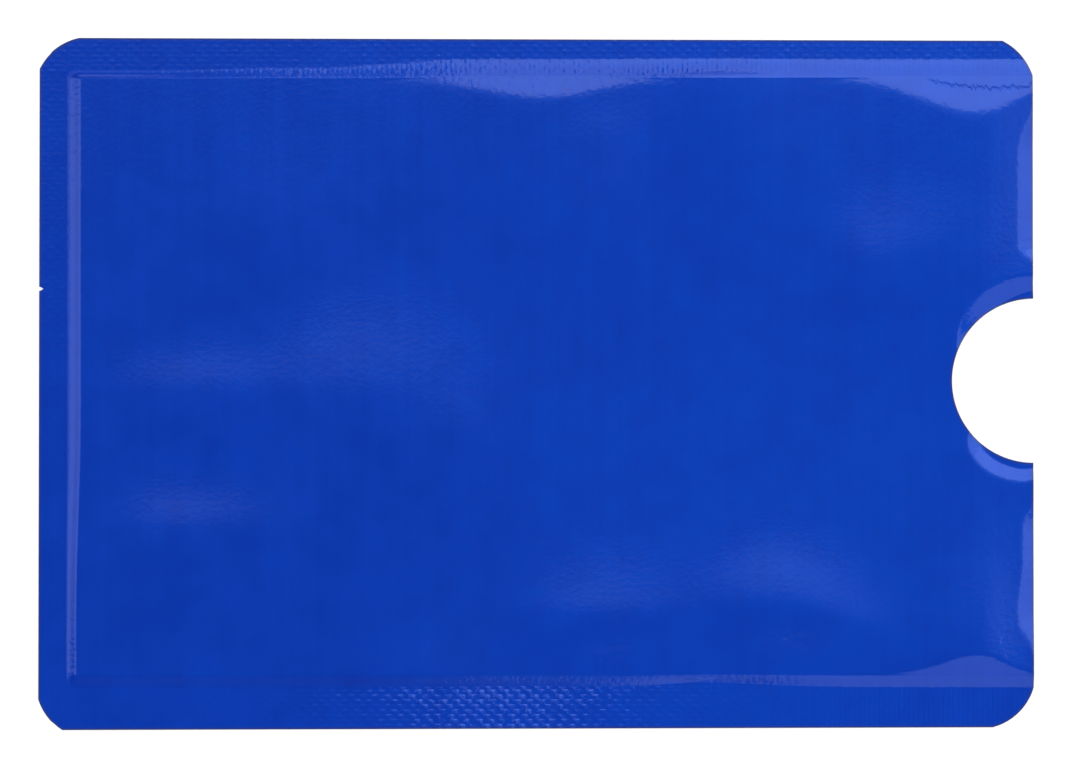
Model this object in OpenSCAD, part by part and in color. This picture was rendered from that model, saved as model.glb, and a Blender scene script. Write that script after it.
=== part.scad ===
// Shielding sleeve for one payment or identity card.
// Two panels of the same laminate, printed film over aluminium foil over a
// sealing liner, are welded to each other along three sides. The fourth side is
// the mouth, and a half-round thumb notch is punched through both panels there.
// The sleeve lies on its back panel. X runs from the closed end to the mouth,
// Y runs across the sleeve and Z goes up through the panels. All in millimetres.

/* [Outline] */
// Length from the closed end to the mouth, along the lower edge
sleeve_length = 91; // [85:0.5:130]
// Width across the two side seals, half way along
sleeve_width = 63; // [56:0.5:100]
// How much wider the sleeve was trimmed at the closed end than at the mouth
closed_end_extra = 0.55; // [0:0.05:1.5]
// How much shorter the upper edge was trimmed than the lower edge
upper_edge_short = 0.3; // [0:0.05:1.5]

/* [Corners] */
// Radius of the punch that rounds the four corners
corner_radius = 5.3; // [3:0.1:8]
// How far the punch slipped outwards at the upper corner of the closed end, along X and Y
upper_end_slip = [0.4, 0.25]; // [0:0.05:1.5]
// How far it slipped outwards at the upper corner of the mouth
upper_mouth_slip = [0.1, 0.4]; // [0:0.05:1.5]
// How far it slipped outwards at the lower corner of the mouth
lower_mouth_slip = [0.2, 0.05]; // [0:0.05:1.5]
// How far it slipped outwards at the lower corner of the closed end
lower_end_slip = [0.25, 1]; // [0:0.05:1.5]

/* [Thumb notch] */
// Radius of the half-round notch, centred on the mouth's edge
notch_radius = 7.5; // [5:0.1:10]
// How far the notch's centre lies above the middle line
notch_offset = 0.3; // [-2:0.1:2]

/* [Seals] */
// Width of the weld along the upper side
upper_seal = 1.5; // [1:0.1:5]
// Width of the weld along the lower side
lower_seal = 3.7; // [1:0.1:5]
// Width of the weld across the closed end
end_seal = 2.5; // [1:0.1:5]

/* [Pocket] */
// Clear height inside the pocket where its shoulders end
pocket_height = 1.05; // [0.4:0.05:2]
// Width of the slope that climbs from the upper weld
upper_shoulder = 1.7; // [0.8:0.1:4]
// Width of the slope that climbs from the lower weld
lower_shoulder = 1.3; // [0.8:0.1:4]
// Width of the slope that climbs from the closed end's weld
end_shoulder = 1.4; // [0.8:0.1:4]

/* [Swells] */
// Extra height of the swell that crosses the front panel near the mouth
mouth_swell = 0.45; // [0:0.05:1.5]
// Distance of that swell's crest from the mouth
mouth_swell_back = 4.5; // [0:0.5:15]
// Half width of that swell, along X
mouth_swell_reach = 9; // [4:0.5:20]
// Extra height of the swell that crosses the middle
middle_swell = 0.2; // [0:0.05:1]
// Place of its crest along X, from the middle towards the mouth
middle_swell_x = 1; // [-15:0.5:15]
// Half width of the middle swell, along X
middle_swell_reach = 9; // [4:0.5:20]
// Distance over which both swells die out towards the shoulders
swell_flank = 3.5; // [1:0.5:8]

/* [Mouth] */
// How far the punched edges of the front panel bend down
lip_droop = 0.2; // [0:0.05:0.35]
// How far that bend reaches back from the edge
lip_reach = 1.6; // [0.5:0.1:3]

/* [Laminate] */
// Thickness of the printed outer film, with its ink and glue
face_film = 0.03; // [0.025:0.005:0.06]
// Thickness of the aluminium foil
foil = 0.02; // [0.01:0.005:0.05]
// Thickness of the sealing liner of one panel
liner = 0.05; // [0.03:0.005:0.1]

/* [Hidden] */

// Curves are true arcs, and this only sets how finely they are drawn
$fn = 96;

// Levels of the stack where the two panels are welded together
back_foil_z = face_film;
back_liner_z = back_foil_z + foil;
pocket_floor_z = back_liner_z + liner;
weld_height = 2 * liner;

// Corners of the trimmed web
closed_half = (sleeve_width + closed_end_extra / 2) / 2;
mouth_half = (sleeve_width - closed_end_extra / 2) / 2;
lower_x = sleeve_length / 2;
upper_x = (sleeve_length - upper_edge_short) / 2;
web = [[-lower_x, -closed_half], [lower_x, -mouth_half], [upper_x, mouth_half], [-upper_x, closed_half]];

// Edges of the pocket, which are the inner edges of the welds
pocket_end_x = -sleeve_length / 2 + end_seal;
pocket_top_y = sleeve_width / 2 - upper_seal;
pocket_bottom_y = -sleeve_width / 2 + lower_seal;

// How far a cutter or an uncut sheet runs past the outline
spare = 2;

// Grid of the front panel: a shoulder has this many steps, and the rest of it
// has even steps of about this length, with finer ones near the mouth's lip
shoulder_steps = 4;
long_step = 4.2;
cross_step = 2.9;
lip_steps = [9.5, 8, 6.5, 5, 3.5, 2.2, 1.2, 0.5];

// Even steps from a to b, without b
function steps_to(a, b, longest) =
    let (n = max(1, ceil((b - a) / longest)))
    [for (i = [0:n - 1]) a + (b - a) * i / n];

pocket_xs = concat(
    steps_to(pocket_end_x, pocket_end_x + end_shoulder, end_shoulder / shoulder_steps),
    steps_to(pocket_end_x + end_shoulder, sleeve_length / 2 - lip_steps[0], long_step),
    [for (s = lip_steps) sleeve_length / 2 - s],
    [sleeve_length / 2 + spare]
);
pocket_ys = concat(
    steps_to(pocket_bottom_y, pocket_bottom_y + lower_shoulder, lower_shoulder / shoulder_steps),
    steps_to(pocket_bottom_y + lower_shoulder, pocket_top_y - upper_shoulder, cross_step),
    steps_to(pocket_top_y - upper_shoulder, pocket_top_y, upper_shoulder / shoulder_steps),
    [pocket_top_y]
);
panel_xs = concat([-sleeve_length / 2 - spare], pocket_xs);
panel_ys = concat([-sleeve_width / 2 - spare], pocket_ys, [sleeve_width / 2 + spare]);

// S-shaped rise from 0 to 1 while t goes from 0 to 1
function ease(t) =
    let (c = min(1, max(0, t)))
    c * c * (3 - 2 * c);

// Share of the pocket's height that the shoulders leave at a point
function shoulder_share(x, y) =
    ease((x - pocket_end_x) / end_shoulder)
    * ease((pocket_top_y - y) / upper_shoulder)
    * ease((y - pocket_bottom_y) / lower_shoulder);

// A swell is a bell along X that dies out towards the two side welds
function bell(t) = exp(-t * t);
function flank(d) = 1 - bell(max(0, d) / swell_flank);
function swell(x, y) =
    (mouth_swell * bell((x - sleeve_length / 2 + mouth_swell_back) / mouth_swell_reach)
    + middle_swell * bell((x - middle_swell_x) / middle_swell_reach))
    * flank(pocket_top_y - y) * flank(y - pocket_bottom_y);

// Distance from the nearest punched edge, the mouth's or the notch's
function from_lip(x, y) = max(0, min(
    sleeve_length / 2 - x,
    norm([x - sleeve_length / 2, y - notch_offset]) - notch_radius
));

// Clear height of the pocket, rounded so that the layers meet face to face
function pocket_gap(x, y) =
    let (h = pocket_height + swell(x, y) - lip_droop * bell(from_lip(x, y) / lip_reach))
    round(shoulder_share(x, y) * h * 1e4) / 1e4;

// Outline of both panels, with rounded corners and the notch
module outline() {
    difference() {
        polygon(web);
        corner_waste(-1, 1, upper_end_slip);
        corner_waste(1, 1, upper_mouth_slip);
        corner_waste(1, -1, lower_mouth_slip);
        corner_waste(-1, -1, lower_end_slip);
        translate([sleeve_length / 2, notch_offset])
            circle(r = notch_radius);
    }
}

// What the punch takes off one corner: the quarter outside its arc
module corner_waste(side_x, side_y, slip) {
    size = corner_radius + slip[0] + slip[1] + spare;
    translate([
        side_x * (sleeve_length / 2 + slip[0] - corner_radius),
        side_y * (sleeve_width / 2 + slip[1] - corner_radius)
    ])
        difference() {
            translate([side_x < 0 ? -size : 0, side_y < 0 ? -size : 0])
                square(size);
            circle(r = corner_radius);
        }
}

// A layer that lies flat, with the sleeve's outline
module flat_layer(z, thickness) {
    translate([0, 0, z])
        linear_extrude(thickness)
            outline();
}

// The part of the outline inside a rectangle, given by its low and high corners
module outline_within(low, high) {
    intersection() {
        outline();
        translate(low)
            square(high - low);
    }
}

// A layer that follows the pocket's ceiling, lofted over a grid of points and
// cut to the outline. Lift is how far its underside lies above the ceiling.
module lofted_layer(xs, ys, lift, thickness) {
    nx = len(xs);
    ny = len(ys);
    low = [for (x = xs, y = ys) [x, y, pocket_floor_z + pocket_gap(x, y) + lift]];
    high = [for (p = low) p + [0, 0, thickness]];
    cells = [for (i = [0:nx - 2], j = [0:ny - 2]) i * ny + j];
    up = nx * ny;
    rim = concat(
        [for (i = [0:nx - 2]) i * ny],
        [for (j = [0:ny - 2]) (nx - 1) * ny + j],
        [for (i = [nx - 1:-1:1]) i * ny + ny - 1],
        [for (j = [ny - 1:-1:1]) j]
    );
    faces = concat(
        [for (c = cells) [c, c + ny, c + 1]],
        [for (c = cells) [c + 1, c + ny, c + ny + 1]],
        [for (c = cells) [up + c, up + c + 1, up + c + ny]],
        [for (c = cells) [up + c + 1, up + c + ny + 1, up + c + ny]],
        [for (k = [0:len(rim) - 1])
            let (a = rim[k], b = rim[(k + 1) % len(rim)])
            [a, up + a, up + b, b]]
    );
    intersection() {
        polyhedron(points = concat(low, high), faces = faces);
        translate([0, 0, -spare])
            linear_extrude(pocket_floor_z + 4 * pocket_height + 4 * spare)
                outline();
    }
}

// Printed film on the outside of the back panel, which the sleeve lies on
module back_face_film() {
    color([0.06, 0.24, 0.73])
        flat_layer(0, face_film);
}

// Foil of the back panel, glued all over to its film
module back_foil_shield() {
    color([0.78, 0.79, 0.81])
        flat_layer(back_foil_z, foil);
}

// Liner of the back panel, from weld to weld: the floor of the pocket
module back_liner() {
    color([0.86, 0.87, 0.88])
        translate([0, 0, back_liner_z])
            linear_extrude(liner)
                outline_within(
                    [pocket_end_x, pocket_bottom_y],
                    [sleeve_length / 2 + spare, pocket_top_y]
                );
}

// Liner of the front panel, from weld to weld: the ceiling of the pocket
module front_liner() {
    color([0.86, 0.87, 0.88])
        lofted_layer(pocket_xs, pocket_ys, 0, liner);
}

// Foil of the front panel
module front_foil_shield() {
    color([0.78, 0.79, 0.81])
        lofted_layer(panel_xs, panel_ys, liner, foil);
}

// Printed film on the outside of the front panel
module front_face_film() {
    color([0.06, 0.24, 0.73])
        lofted_layer(panel_xs, panel_ys, liner + foil, face_film);
}

// One weld, where the two liners melted into a single strip
module weld(low, high) {
    color([0.80, 0.82, 0.84])
        translate([0, 0, back_liner_z])
            linear_extrude(weld_height)
                outline_within(low, high);
}

// Weld along the upper side, from the closed end to the mouth
module upper_side_seal() {
    weld(
        [-sleeve_length / 2 - spare, pocket_top_y],
        [sleeve_length / 2 + spare, sleeve_width / 2 + spare]
    );
}

// Weld along the lower side, from the closed end to the mouth
module lower_side_seal() {
    weld(
        [-sleeve_length / 2 - spare, -sleeve_width / 2 - spare],
        [sleeve_length / 2 + spare, pocket_bottom_y]
    );
}

// Weld across the closed end, between the two side welds
module closed_end_seal() {
    weld(
        [-sleeve_length / 2 - spare, pocket_bottom_y],
        [pocket_end_x, pocket_top_y]
    );
}

back_face_film();
back_foil_shield();
back_liner();
front_face_film();
front_foil_shield();
front_liner();
upper_side_seal();
lower_side_seal();
closed_end_seal();
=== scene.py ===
import math

import bpy
import numpy as np
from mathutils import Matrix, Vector


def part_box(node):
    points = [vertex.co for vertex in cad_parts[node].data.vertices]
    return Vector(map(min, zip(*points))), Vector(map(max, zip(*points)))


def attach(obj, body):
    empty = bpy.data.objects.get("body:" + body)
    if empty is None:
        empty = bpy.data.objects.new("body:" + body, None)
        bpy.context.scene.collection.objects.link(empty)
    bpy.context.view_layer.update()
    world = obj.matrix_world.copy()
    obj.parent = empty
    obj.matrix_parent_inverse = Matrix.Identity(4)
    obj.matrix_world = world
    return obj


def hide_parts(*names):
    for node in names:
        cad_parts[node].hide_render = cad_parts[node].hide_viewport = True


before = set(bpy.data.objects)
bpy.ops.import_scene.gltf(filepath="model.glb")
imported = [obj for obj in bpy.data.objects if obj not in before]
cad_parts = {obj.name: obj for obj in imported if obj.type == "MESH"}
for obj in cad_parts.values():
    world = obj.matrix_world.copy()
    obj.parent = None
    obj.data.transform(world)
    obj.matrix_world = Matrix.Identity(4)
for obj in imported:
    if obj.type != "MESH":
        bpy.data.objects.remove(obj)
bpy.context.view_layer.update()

# A sleeve of foil laminate for one card, seen from straight above.
# X runs from the closed end to the mouth, Y across, Z up through the panels.
# Shapes are worked out in millimetres and turned to metres when a mesh is made.
mm = 0.001
print("frame loaded:", sorted(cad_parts))

# Outline of both panels, as it was trimmed and punched
outline = {
    "length": 91.0,
    "width": 63.0,
    "closedEndExtra": 0.55,    # wider at the closed end than at the mouth
    "upperEdgeShort": 0.3,     # upper edge shorter than the lower one
    "cornerRadius": 5.3,
    "cornerSlip": {(-1, 1): (0.4, 0.25), (1, 1): (0.1, 0.4), (1, -1): (0.2, 0.05), (-1, -1): (0.25, 1.0)},
    "notchRadius": 7.5,
    "notchY": 0.3,
    "nickY": 8.7,              # a snag in the cut edge of the closed end
    "nickDepth": 0.38,
    "nickHalf": 0.2,
    "nickPower": 0.7,
}
halfLength = outline["length"] / 2
halfWidth = outline["width"] / 2
upperX = halfLength - outline["upperEdgeShort"] / 2
closedHalf = halfWidth + outline["closedEndExtra"] / 4
mouthHalf = halfWidth - outline["closedEndExtra"] / 4

# Pocket between the welds, and how the front panel stands over it
pocket = {
    "endX": -halfLength + 2.5,
    "topY": halfWidth - 1.5,
    "bottomY": -halfWidth + 3.7,
    "upperHeight": 0.38,       # heights of the empty panel behind its shoulders
    "lowerHeight": 0.36,
    "endHeight": 0.32,
    # higher stretches of the two side shoulders: place, spread, extra height, and how far in they die out
    "upperHump": (17.0, 7.0, 0.35, 15.0),
    "lowerHump": (-9.5, 8.0, 0.2, 4.5),
    # towards the closed end the upper side lies lower: from where, over what way and by how much
    "upperDrop": (-6.0, 14.0, 0.12),
    "upperShoulder": 2.0,
    "lowerShoulder": 1.25,
    "endShoulder": 1.5,
    # share of a shoulder that bends upward, and share that bends flat again
    "upperBends": (0.86, 0.14),
    "lowerBends": (0.3, 0.3),
    "endBends": (0.7, 0.22),
    # the closed end's shoulder is narrower lower down: from where, over what way and by how much
    "endNarrows": (-2.0, 20.0, 0.5),
    "endRun": 12.0,            # way over which the closed end's height gives way to the sides'
    "sideMix": (-24.0, 50.0),  # the same from the lower side's to the upper side's: start along Y, and way
}

# Where the front panel leaves the weld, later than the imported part's straight line
weld = {
    "upper": 0.15,
    "upperWider": [(-5.5, 15.0, 0.9), (-24.0, 10.0, 0.35)],   # from where, over what way, by how much
    "lowerBulge": (15.0, 4.5, 8.0, 0.52),   # place, spread towards -X and +X, and width
}

# Low swells behind the upper and lower shoulders, where the film bellies out.
# A row is place along X, extra reach from the weld, spread towards -X and +X.
upperLobes = {
    "slope": 0.105,
    "soft": 0.25,
    "footSoft": 0.03,
    "fade": 26.0,
    "rows": [(0.8, 1.78, 8.2, 7.0), (40.4, 3.25, 7.2, 5.2)],
}
lowerLobes = {
    "slope": 0.17,
    "soft": 0.1,
    "footSoft": 0.03,
    "fade": 8.5,
    "rows": [(40.5, 1.85, 4.7, 3.2)],
}

# Edges of the front panel that bend down: along the mouth and round the notch
lip = {
    "slope": 0.15,
    "soft": 0.05,
    # along the mouth: low end, high end, depth, and how far the depth fades at either end
    "mouth": [(11.0, 26.3, 1.42, 1.6, 5.2), (-23.9, -10.4, 1.05, 2.6, 2.4), (-25.2, -16.2, 0.35, 2.4, 4.0)],
    "notchSlope": 0.22,
    "notchAbove": (2.1, 69.0, 2.5),   # depth at the mouth, angle where it ends, power
    "notchBelow": (1.82, 52.0, 5.0),
    "notchBelowThins": (0.2, 6.0),    # by what share at the mouth's line, and over how many degrees
    "thinnest": 0.3,                  # a notch lip narrower than this dies out
    "none": 0.01,                     # a mouth lip narrower than this is none
}

# Waves left in the flexible panel. A row is the crest's middle x and y, reach to the left and right along
# it, reach below and above it, height, turn in degrees, and how much the crest bows per millimetre
waves = [
    (-17.0, -1.6, 6.5, 13.5, 14.0, 7.5, 0.44, -5, 0.0),
    (-30.7, -0.9, 8.5, 8.0, 5.0, 3.2, 0.2, 2, 0.0),
    (-33.0, -13.6, 5.5, 10.0, 7.5, 3.4, 0.24, 0, 0.0),
    (-7.2, -5.4, 4.0, 4.0, 6.0, 3.8, 0.13, -30, 0.0),
    (5.3, -24.6, 6.5, 8.0, 8.0, 6.5, 0.5, 14, 0.0),
    (22.8, -20.5, 6.5, 12.0, 9.0, 4.6, 0.41, -17, -0.03),
    (31.0, 10.4, 3.6, 10.0, 6.0, 5.4, 0.29, 12, 0.0),
    (7.2, 14.5, 4.0, 3.4, 6.0, 9.0, 0.15, 0, 0.0),
    (-24.0, 14.0, 5.0, 8.0, 6.0, 6.0, 0.08, 0, 0.0),
]
# Waves keep clear of the swells and shoulders: the still way, and the way over which they reach full height
calm = {"upper": (2.4, 4.0), "lower": (0.8, 7.0), "end": (1.0, 5.0)}
# How far the panel hangs in the middle, half the width it hangs over, and where it starts at the closed end
sag = {"depth": 0.2, "halfWidth": 27.5, "end": (1.0, 8.0)}


# S-shaped rise from 0 to 1 while t goes from 0 to 1: t squared times (3 - 2t)
def ease(t):
    c = np.clip(t, 0, 1)
    return c * c * (3 - 2 * c)


# Bell that is 1 at 0 and falls off as e to the power of -t squared
def bell(t):
    return np.exp(-t * t)


# Climb from 0 to 1 by a parabola, a straight slope and a parabola; bends are the two parabolas' shares
def climb(t, bends):
    foot, head = bends
    c = np.clip(t, 0, 1)
    steepest = 1 / (1 - foot / 2 - head / 2)
    start = steepest * c * c / (2 * foot)
    middle = steepest * (c - foot / 2)
    end = 1 - steepest * (1 - c) ** 2 / (2 * head)
    return np.where(c < foot, start, np.where(c > 1 - head, end, middle))


# 0 below 0 and t above it, with the corner rounded: soft times log(1 + e to the power of t / soft)
def bent(t, soft):
    return soft * np.logaddexp(0, t / soft)


# The trimmed upper (side 1) or lower (side -1) edge as y at x, a slightly slanted line
def sideEdge(x, side):
    reach = upperX if side > 0 else halfLength
    return side * (closedHalf + (mouthHalf - closedHalf) * (x + reach) / (2 * reach))


# The trimmed closed end (side -1) or mouth (side 1) as x at y, also a slightly slanted line
def endEdge(y, side):
    half = mouthHalf if side > 0 else closedHalf
    return side * (halfLength + (upperX - halfLength) * (y + half) / (2 * half))


# Centre of one corner's punch
def cornerCentre(sideX, sideY):
    slipX, slipY = outline["cornerSlip"][(sideX, sideY)]
    radius = outline["cornerRadius"]
    return sideX * (halfLength + slipX - radius), sideY * (halfWidth + slipY - radius)


# Left or right end of the sheet at height y: the trimmed line, or the corner's arc where that cuts in
def rowEnd(y, side):
    x = endEdge(y, side)
    radius = outline["cornerRadius"]
    for sideY in (1, -1):
        cx, cy = cornerCentre(side, sideY)
        beyond = np.clip((y - cy) * sideY, 0, radius)
        arc = cx + side * np.sqrt(radius ** 2 - beyond ** 2)
        x = np.where(((y - cy) * sideY > 0) & (arc * side < x * side), arc, x)
    if side < 0:
        nick = np.clip(1 - np.abs(y - outline["nickY"]) / outline["nickHalf"], 0, 1)
        x = x + outline["nickDepth"] * nick ** outline["nickPower"]
    return x


# Distance from a point to the nearest cut edge of the sheet
def cutDistance(x, y):
    far = np.minimum(np.minimum(sideEdge(x, 1) - y, y - sideEdge(x, -1)),
                     np.minimum(x - endEdge(y, -1), endEdge(y, 1) - x))
    for sideX, sideY in outline["cornerSlip"]:
        cx, cy = cornerCentre(sideX, sideY)
        inCorner = ((x - cx) * sideX > 0) & ((y - cy) * sideY > 0)
        far = np.where(inCorner, np.minimum(far, outline["cornerRadius"] - np.hypot(x - cx, y - cy)), far)
    far = np.minimum(far, np.hypot(x - halfLength, y - outline["notchY"]) - outline["notchRadius"])
    return np.maximum(far, 0)


# How far beyond its shoulder a low swell reaches at x: lopsided bells
def lobeReach(x, lobes):
    reach = np.zeros_like(x)
    for place, extra, left, right in lobes["rows"]:
        reach = reach + extra * bell((x - place) / np.where(x < place, left, right))
    return reach


# Height of a low swell at a distance beyond its shoulder: an even slope up to its reach, then a slow fade
def lobeHeight(x, beyond, lobes):
    reach = lobeReach(x, lobes)
    rise = lobes["slope"] * (reach - bent(reach - bent(beyond, lobes["footSoft"]), lobes["soft"]))
    return np.maximum(rise, 0) * bell(np.maximum(beyond - reach, 0) / lobes["fade"])


# How far the bent strip along the mouth reaches back at y: steps up and down with smooth flanks
def mouthLipDepth(y):
    depth = np.zeros_like(y)
    for low, high, size, lowFade, highFade in lip["mouth"]:
        depth = depth + size * ease((y - low) / lowFade) * ease((high - y) / highFade)
    return depth


# How far the bent strip round the notch reaches, by the angle away from the mouth's line
def notchLipDepth(x, y):
    above = y > outline["notchY"]
    angle = np.degrees(np.arctan2(halfLength - x, np.abs(y - outline["notchY"])))
    size, last, power = lip["notchAbove"]
    depthAbove = size * (1 - np.clip(angle / last, 0, 1) ** power)
    size, last, power = lip["notchBelow"]
    less, reach = lip["notchBelowThins"]
    depthBelow = size * (1 - np.clip(angle / last, 0, 1) ** power) * (1 - less * np.exp(-angle / reach))
    return np.where(above, depthAbove, depthBelow)


# Gentle waves of the panel: a sum of lopsided bells, each turned and bowed in its own way
def waveHeight(x, y):
    total = np.zeros_like(x)
    for cx, cy, left, right, below, above, height, turn, bow in waves:
        c, s = math.cos(math.radians(turn)), math.sin(math.radians(turn))
        along = (x - cx) * c + (y - cy) * s
        across = (y - cy) * c - (x - cx) * s - bow * along ** 2
        total = total + (height * bell(along / np.where(along < 0, left, right))
                         * bell(across / np.where(across < 0, below, above)))
    return total


# Where the panel leaves the weld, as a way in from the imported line: steps above, one bulge below
def weldCreep(x):
    upper = weld["upper"]
    for place, way, extra in weld["upperWider"]:
        upper = upper + extra * ease((place - x) / way)
    place, left, right, width = weld["lowerBulge"]
    lower = width * bell((x - place) / np.where(x < place, left, right))
    return upper, lower


# Extra height of a shoulder's hump: a bell along the sleeve that dies out away from the weld
def humpHeight(x, d, hump):
    place, spread, height, reach = hump
    return height * bell((x - place) / spread) * bell(d / reach)


# How much of the waves' height a point gets: nothing near the swells and shoulders, all of it further in
def waveShare(x, fromTop, fromBottom, fromEnd):
    share = 1.0
    for beyond, (still, growth) in ((fromTop - lobeReach(x, upperLobes), calm["upper"]),
                                    (fromBottom, calm["lower"]), (fromEnd, calm["end"])):
        share = share * ease((beyond - still) / growth)
    return share


# Height of the panel behind its shoulders: from the lower side's to the upper side's, and from the closed
# end's to both
def panelLevel(x, y, fromTop, fromBottom, fromEnd):
    place, way, drop = pocket["upperDrop"]
    upper = pocket["upperHeight"] - drop * ease((place - x) / way)
    upper = upper + humpHeight(x, fromTop, pocket["upperHump"])
    lower = pocket["lowerHeight"] + humpHeight(x, fromBottom, pocket["lowerHump"])
    start, way = pocket["sideMix"]
    mix = ease((y - start) / way)
    level = upper * mix + lower * (1 - mix)
    return pocket["endHeight"] + (level - pocket["endHeight"]) * ease(fromEnd / pocket["endRun"])


# How far the edges along the mouth and the notch bend down: an even slope from the lip's inner line
def lipBend(x, y):
    mouthDepth = mouthLipDepth(y)
    mouthBend = lip["slope"] * bent(x - halfLength + mouthDepth, lip["soft"])
    mouthBend = mouthBend * (mouthDepth > lip["none"])
    fromNotch = np.hypot(x - halfLength, y - outline["notchY"]) - outline["notchRadius"]
    notchDepth = notchLipDepth(x, y)
    notchBend = lip["notchSlope"] * bent(notchDepth - fromNotch, lip["soft"])
    return mouthBend + notchBend * ease(notchDepth / lip["thinnest"])


# Clear height of the pocket at a point: shoulders times the panel's height, plus swells and waves, less
# the sag and the bent lips, and never below the liner
def pocketGap(x, y):
    fromTop = pocket["topY"] - y
    fromBottom = y - pocket["bottomY"]
    fromEnd = x - pocket["endX"]
    upperCreep, lowerCreep = weldCreep(x)
    start, way, less = pocket["endNarrows"]
    endWidth = pocket["endShoulder"] - less * ease((start - y) / way)
    upper = climb((fromTop - upperCreep) / (pocket["upperShoulder"] - upperCreep), pocket["upperBends"])
    lower = climb((fromBottom - lowerCreep) / (pocket["lowerShoulder"] - lowerCreep), pocket["lowerBends"])
    along = climb(fromEnd / endWidth, pocket["endBends"])
    swell = lobeHeight(x, fromTop - pocket["upperShoulder"], upperLobes) * lower
    swell = swell + lobeHeight(x, fromBottom - pocket["lowerShoulder"], lowerLobes) * upper
    still, way = sag["end"]
    hang = np.maximum(1 - (y / sag["halfWidth"]) ** 2, 0) ** 2
    hang = sag["depth"] * hang * ease((fromEnd - still) / way)
    share = upper * lower * along
    gap = share * (panelLevel(x, y, fromTop, fromBottom, fromEnd) - lipBend(x, y)) + swell * along
    gap = gap + waveHeight(x, y) * waveShare(x, fromTop, fromBottom, fromEnd) - hang
    inside = (fromTop > 0) & (fromBottom > 0) & (fromEnd > 0)
    return np.where(inside, np.maximum(gap, 0), 0)


# Places from 0 to 1 whose steps start at 'first' and grow by 'growth' up to 'longest'
def gradedPlaces(first, growth, longest):
    steps = np.minimum(first * growth ** np.arange(2000), longest)
    count = int(np.searchsorted(np.cumsum(steps), 1.0)) + 1
    places = np.concatenate([[0], np.cumsum(steps[:count])])
    return places * (1.0 / places[-1])


# The sheet's grid is four blocks: the body, one above and one below the notch, and a fan round the notch
grid = {
    "fanX": halfLength - 12.5,     # the fan's left side
    "fanHalf": 12.3,               # half the fan's height, from the notch's middle line
    "endZoneX": -38.0,             # columns left of here squeeze into the rounded corners
    "cornerRows": 5.0,             # rows this near the sides take part in that
    "fine": 0.11,                  # spacing on the shoulders
    "upperFine": 5.5,              # width of the finely spaced rows along the upper side, and so on
    "lowerFine": 3.6,
    "endFine": 2.2,
    # steps from the mouth inward and from the notch outward, as shares of the way: first, growth, longest
    "mouthSteps": (0.0096, 1.1, 0.05),
    "fanSteps": (0.016, 1.1, 0.09),
    "nickReach": 1.2,              # the snag's own rows cover this many times its half width
    "nickClear": 0.32,             # even rows this near the snag make way for them
    "nickZone": 0.5,               # and rows this near it squeeze like the corners' rows
    "straight": 1.2,               # a row this much longer than the weld keeps the weld's edge straight
    "least": 1e-7,                 # smallest cell kept
    "rows": {"lowerBand": 20, "lowerFlat": 20, "window": 47, "nick": 13, "upperFlat": 22, "upperBand": 15},
    "columns": {"endBand": 14, "rest": 9, "middle": 96},
}


# Rows as heights over the notch's middle line, from the lower edge to the upper one at x = 0
def rowPlaces():
    middle, counts = outline["notchY"], grid["rows"]
    nick = outline["nickY"] + np.linspace(-1, 1, counts["nick"]) * outline["nickHalf"] * grid["nickReach"]
    window = middle + np.linspace(-1, 1, counts["window"]) * grid["fanHalf"]
    window = window[np.abs(window - outline["nickY"]) > grid["nickClear"]]
    window = np.sort(np.concatenate([window, nick]))
    upperBand = np.linspace(pocket["topY"], sideEdge(0.0, 1), counts["upperBand"])
    upperFine, lowerFine = pocket["topY"] - grid["upperFine"], pocket["bottomY"] + grid["lowerFine"]
    upperSlope = np.arange(upperFine, pocket["topY"] - 1e-6, grid["fine"])
    upperFlat = np.linspace(middle + grid["fanHalf"], upperFine, counts["upperFlat"])[1:-1]
    lowerSlope = np.arange(lowerFine, pocket["bottomY"] + 1e-6, -grid["fine"])[::-1]
    lowerFlat = np.linspace(lowerFine, middle - grid["fanHalf"], counts["lowerFlat"])[1:-1]
    lowerBand = np.linspace(sideEdge(0.0, -1), pocket["bottomY"], counts["lowerBand"])
    return np.concatenate([lowerBand, lowerSlope, lowerFlat, window, upperFlat, upperSlope, upperBand])


# Columns of the body, from the closed end to the fan
def columnPlaces():
    counts = grid["columns"]
    band = np.linspace(endEdge(0.0, -1), pocket["endX"], counts["endBand"])
    slope = np.arange(pocket["endX"], pocket["endX"] + grid["endFine"], grid["fine"])[1:]
    rest = np.linspace(slope[-1], grid["endZoneX"], counts["rest"])[1:]
    middle = np.linspace(grid["endZoneX"], grid["fanX"], counts["middle"])[1:]
    return np.concatenate([band, slope, rest, middle])


# y of a row at x: straight inside the pocket, and slanting towards the trimmed edge in the side bands
def rowHeight(row, x):
    low, high = pocket["bottomY"], pocket["topY"]
    upperShare = np.clip((row - high) / (sideEdge(0.0, 1) - high), 0, 1)
    lowerShare = np.clip((row - low) / (sideEdge(0.0, -1) - low), 0, 1)
    return (np.clip(row, low, high) + upperShare * (sideEdge(x, 1) - high)
            + lowerShare * (sideEdge(x, -1) - low))


# Where a row ends, found by stepping between the row's height and the outline four times
def rowLimit(row, side):
    x = np.full_like(row, side * (halfLength - 2))
    for _ in range(4):
        x = rowEnd(rowHeight(row, x), side)
    return x


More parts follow.
